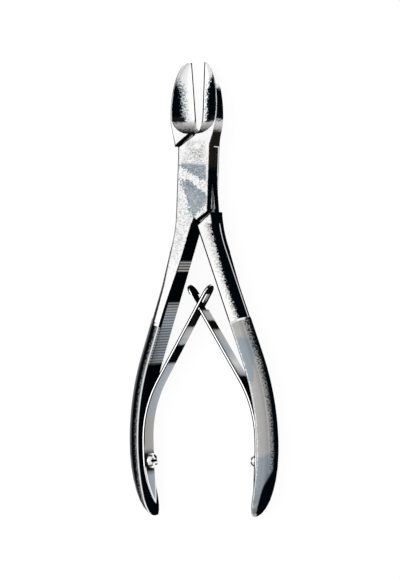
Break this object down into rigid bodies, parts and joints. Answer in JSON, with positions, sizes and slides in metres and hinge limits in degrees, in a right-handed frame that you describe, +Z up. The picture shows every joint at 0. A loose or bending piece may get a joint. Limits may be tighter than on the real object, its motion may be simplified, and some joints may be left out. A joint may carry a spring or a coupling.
{
  "type": "bone cutting forceps",
  "caption": "Straight bone cutting forceps: hollow-ground jaws, a box joint, bowed handles, and leaf springs whose neck and slot interlock to spring the handles open.",
  "frame": {"origin": "on the joint pin's axis, at the back face of the box joint, on which the forceps lie", "axes": "+X to the right jaw, +Y towards the jaw tips, +Z up through the front face"},
  "size_m": [0.0628, 0.1771, 0.0104],
  "materials": {
    "lever_steel": "satin stainless steel, finely grained on the grips",
    "pin_steel": "satin stainless steel, ground flush",
    "leaf_steel": "polished spring steel",
    "screw_steel": "polished screw heads"
  },
  "bodies": {
    "female": {"female_lever": "lever_steel", "joint_pin": "pin_steel", "left_leaf_foot": "leaf_steel", "left_leaf_screw": "screw_steel"},
    "male": {"male_lever": "lever_steel", "right_leaf_foot": "leaf_steel", "right_leaf_screw": "screw_steel"},
    "left_blade": {"left_leaf_blade": "leaf_steel"},
    "right_blade": {"right_leaf_blade": "leaf_steel"}
  },
  "joints": [
    {"name": "box_joint", "type": "hinge", "parent": "female", "child": "male", "pos_m": [0, 0, 0], "axis": [0, 0, 1], "range_deg": [-6.6, 0], "stiffness_Nm_per_rad": 6, "springref_deg": 1.72},
    {"name": "left_leaf_flex", "type": "hinge", "parent": "female", "child": "left_blade", "pos_m": [-0.02269, -0.08996, 0.0052], "axis": [0, 0, 1], "range_deg": [0, 3.9]},
    {"name": "right_leaf_flex", "type": "hinge", "parent": "male", "child": "right_blade", "pos_m": [0.02269, -0.08996, 0.0052], "axis": [0, 0, 1], "range_deg": [-3.9, 0]}
  ],
  "couplings": [
    {"joint": "left_leaf_flex", "follows": "box_joint", "ratio": -0.5716},
    {"joint": "right_leaf_flex", "follows": "box_joint", "ratio": 0.5716}
  ]
}
